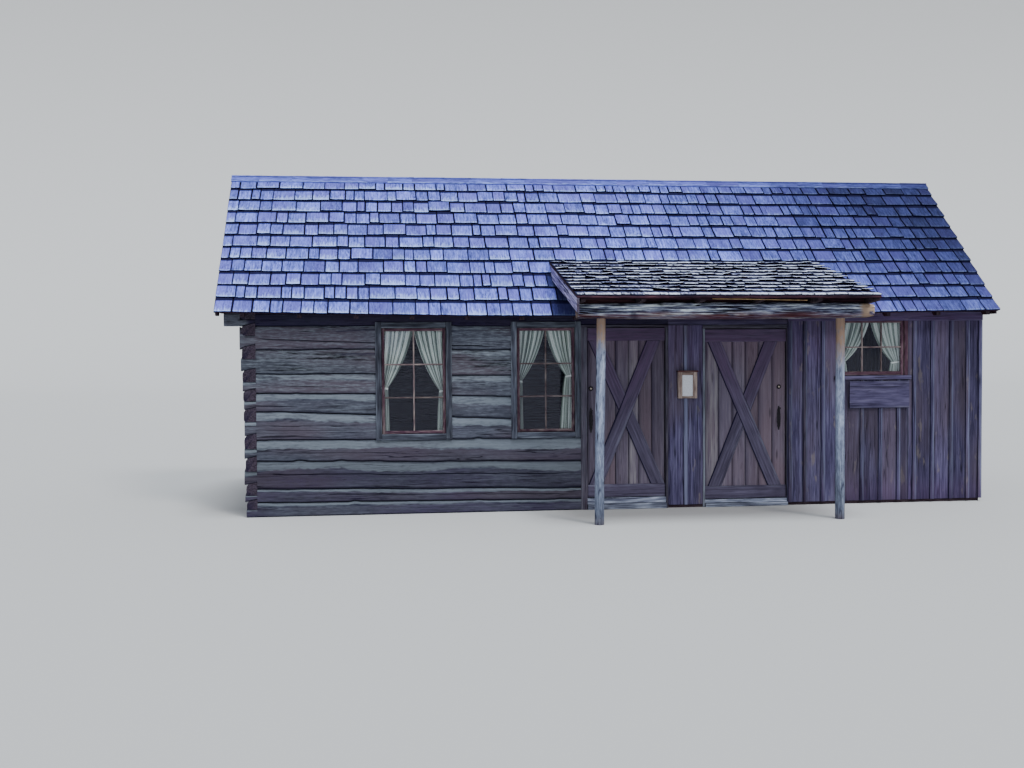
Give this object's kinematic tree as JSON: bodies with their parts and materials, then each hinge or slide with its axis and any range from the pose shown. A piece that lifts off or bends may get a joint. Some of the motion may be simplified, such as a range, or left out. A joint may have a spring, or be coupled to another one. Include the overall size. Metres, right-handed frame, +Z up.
{
  "type": "one-storey log and board cabin with a porch",
  "caption": "Hewn-log cabin with a board-and-batten room, shake gable roof and a lean-to porch over two plank doors that open inwards.",
  "frame": {"origin": "on the ground under the middle of the roofs", "axes": "+X to the right along the front wall, +Y from the front to the back, +Z up"},
  "size_m": [9.32, 5.04, 4.1638],
  "materials": {
    "hewn_logs": "rough, weathered",
    "weathered_boards": "rough, weathered",
    "roof_shakes": "rough, weathered",
    "porch_shakes": "rough, weathered",
    "roof_timber": "rough",
    "frame_timber": "rough",
    "beam_log": "rough, weathered",
    "post_log": "peeled, weathered",
    "casing_wood": "weathered",
    "sash_wood": "weathered stain",
    "door_planks": "rough, weathered",
    "door_braces": "rough, weathered",
    "door_sill_wood": "worn, weathered",
    "floor_wood": "worn",
    "chinking": "rough",
    "box_wood": "oiled",
    "sign_wood": "stained, weathered",
    "dark_iron": "matte black",
    "window_glass": "clear",
    "curtain_cloth": "sheer"
  },
  "bodies": {
    "house": {"front_logs": "hewn_logs", "back_logs": "hewn_logs", "left_logs": "hewn_logs", "chinking": "chinking", "wall_plates": "hewn_logs", "sill_beams": "frame_timber", "headers": "frame_timber", "end_beams": "frame_timber", "posts": "frame_timber", "front_boards": "weathered_boards", "right_boards": "weathered_boards", "left_gable_boards": "weathered_boards", "back_boards": "weathered_boards", "frieze_board": "roof_timber", "floor_sleepers": "frame_timber", "floor_boards": "floor_wood", "rafters": "roof_timber", "ridge_board": "roof_timber", "rake_boards": "roof_timber", "roof_deck": "roof_timber", "front_shakes": "roof_shakes", "back_shakes": "roof_shakes", "ridge_cap": "roof_shakes", "window_1_frame": "casing_wood", "window_2_frame": "casing_wood", "window_3_frame": "sash_wood", "window_3_sill": "casing_wood", "sashes": "sash_wood", "window_glass": "window_glass", "curtain_rods": "dark_iron", "window_1_curtains": "curtain_cloth", "window_2_curtains": "curtain_cloth", "window_3_curtains": "curtain_cloth", "door_jambs": "casing_wood", "door_heads": "casing_wood", "door_sills": "door_sill_wood", "porch_beam": "beam_log", "porch_posts": "post_log", "porch_rafters": "roof_timber", "porch_side_board": "weathered_boards", "porch_deck": "roof_timber", "porch_shakes": "porch_shakes", "leaflet_box": "box_wood", "sign_board": "sign_wood"},
    "left_door": {"left_door_leaf": "door_planks", "left_door_braces": "door_braces", "left_door_hinges": "dark_iron", "left_door_latch": "dark_iron"},
    "right_door": {"right_door_leaf": "door_planks", "right_door_braces": "door_braces", "right_door_hinges": "dark_iron", "right_door_latch": "dark_iron"}
  },
  "joints": [
    {"name": "left_door_hinge", "type": "hinge", "parent": "house", "child": "left_door", "pos_m": [0.5765, -0.9237, 1.15], "axis": [0, 0, -1], "range_deg": [0, 95]},
    {"name": "right_door_hinge", "type": "hinge", "parent": "house", "child": "right_door", "pos_m": [1.0625, -0.9237, 1.15], "axis": [0, 0, 1], "range_deg": [0, 95]}
  ]
}
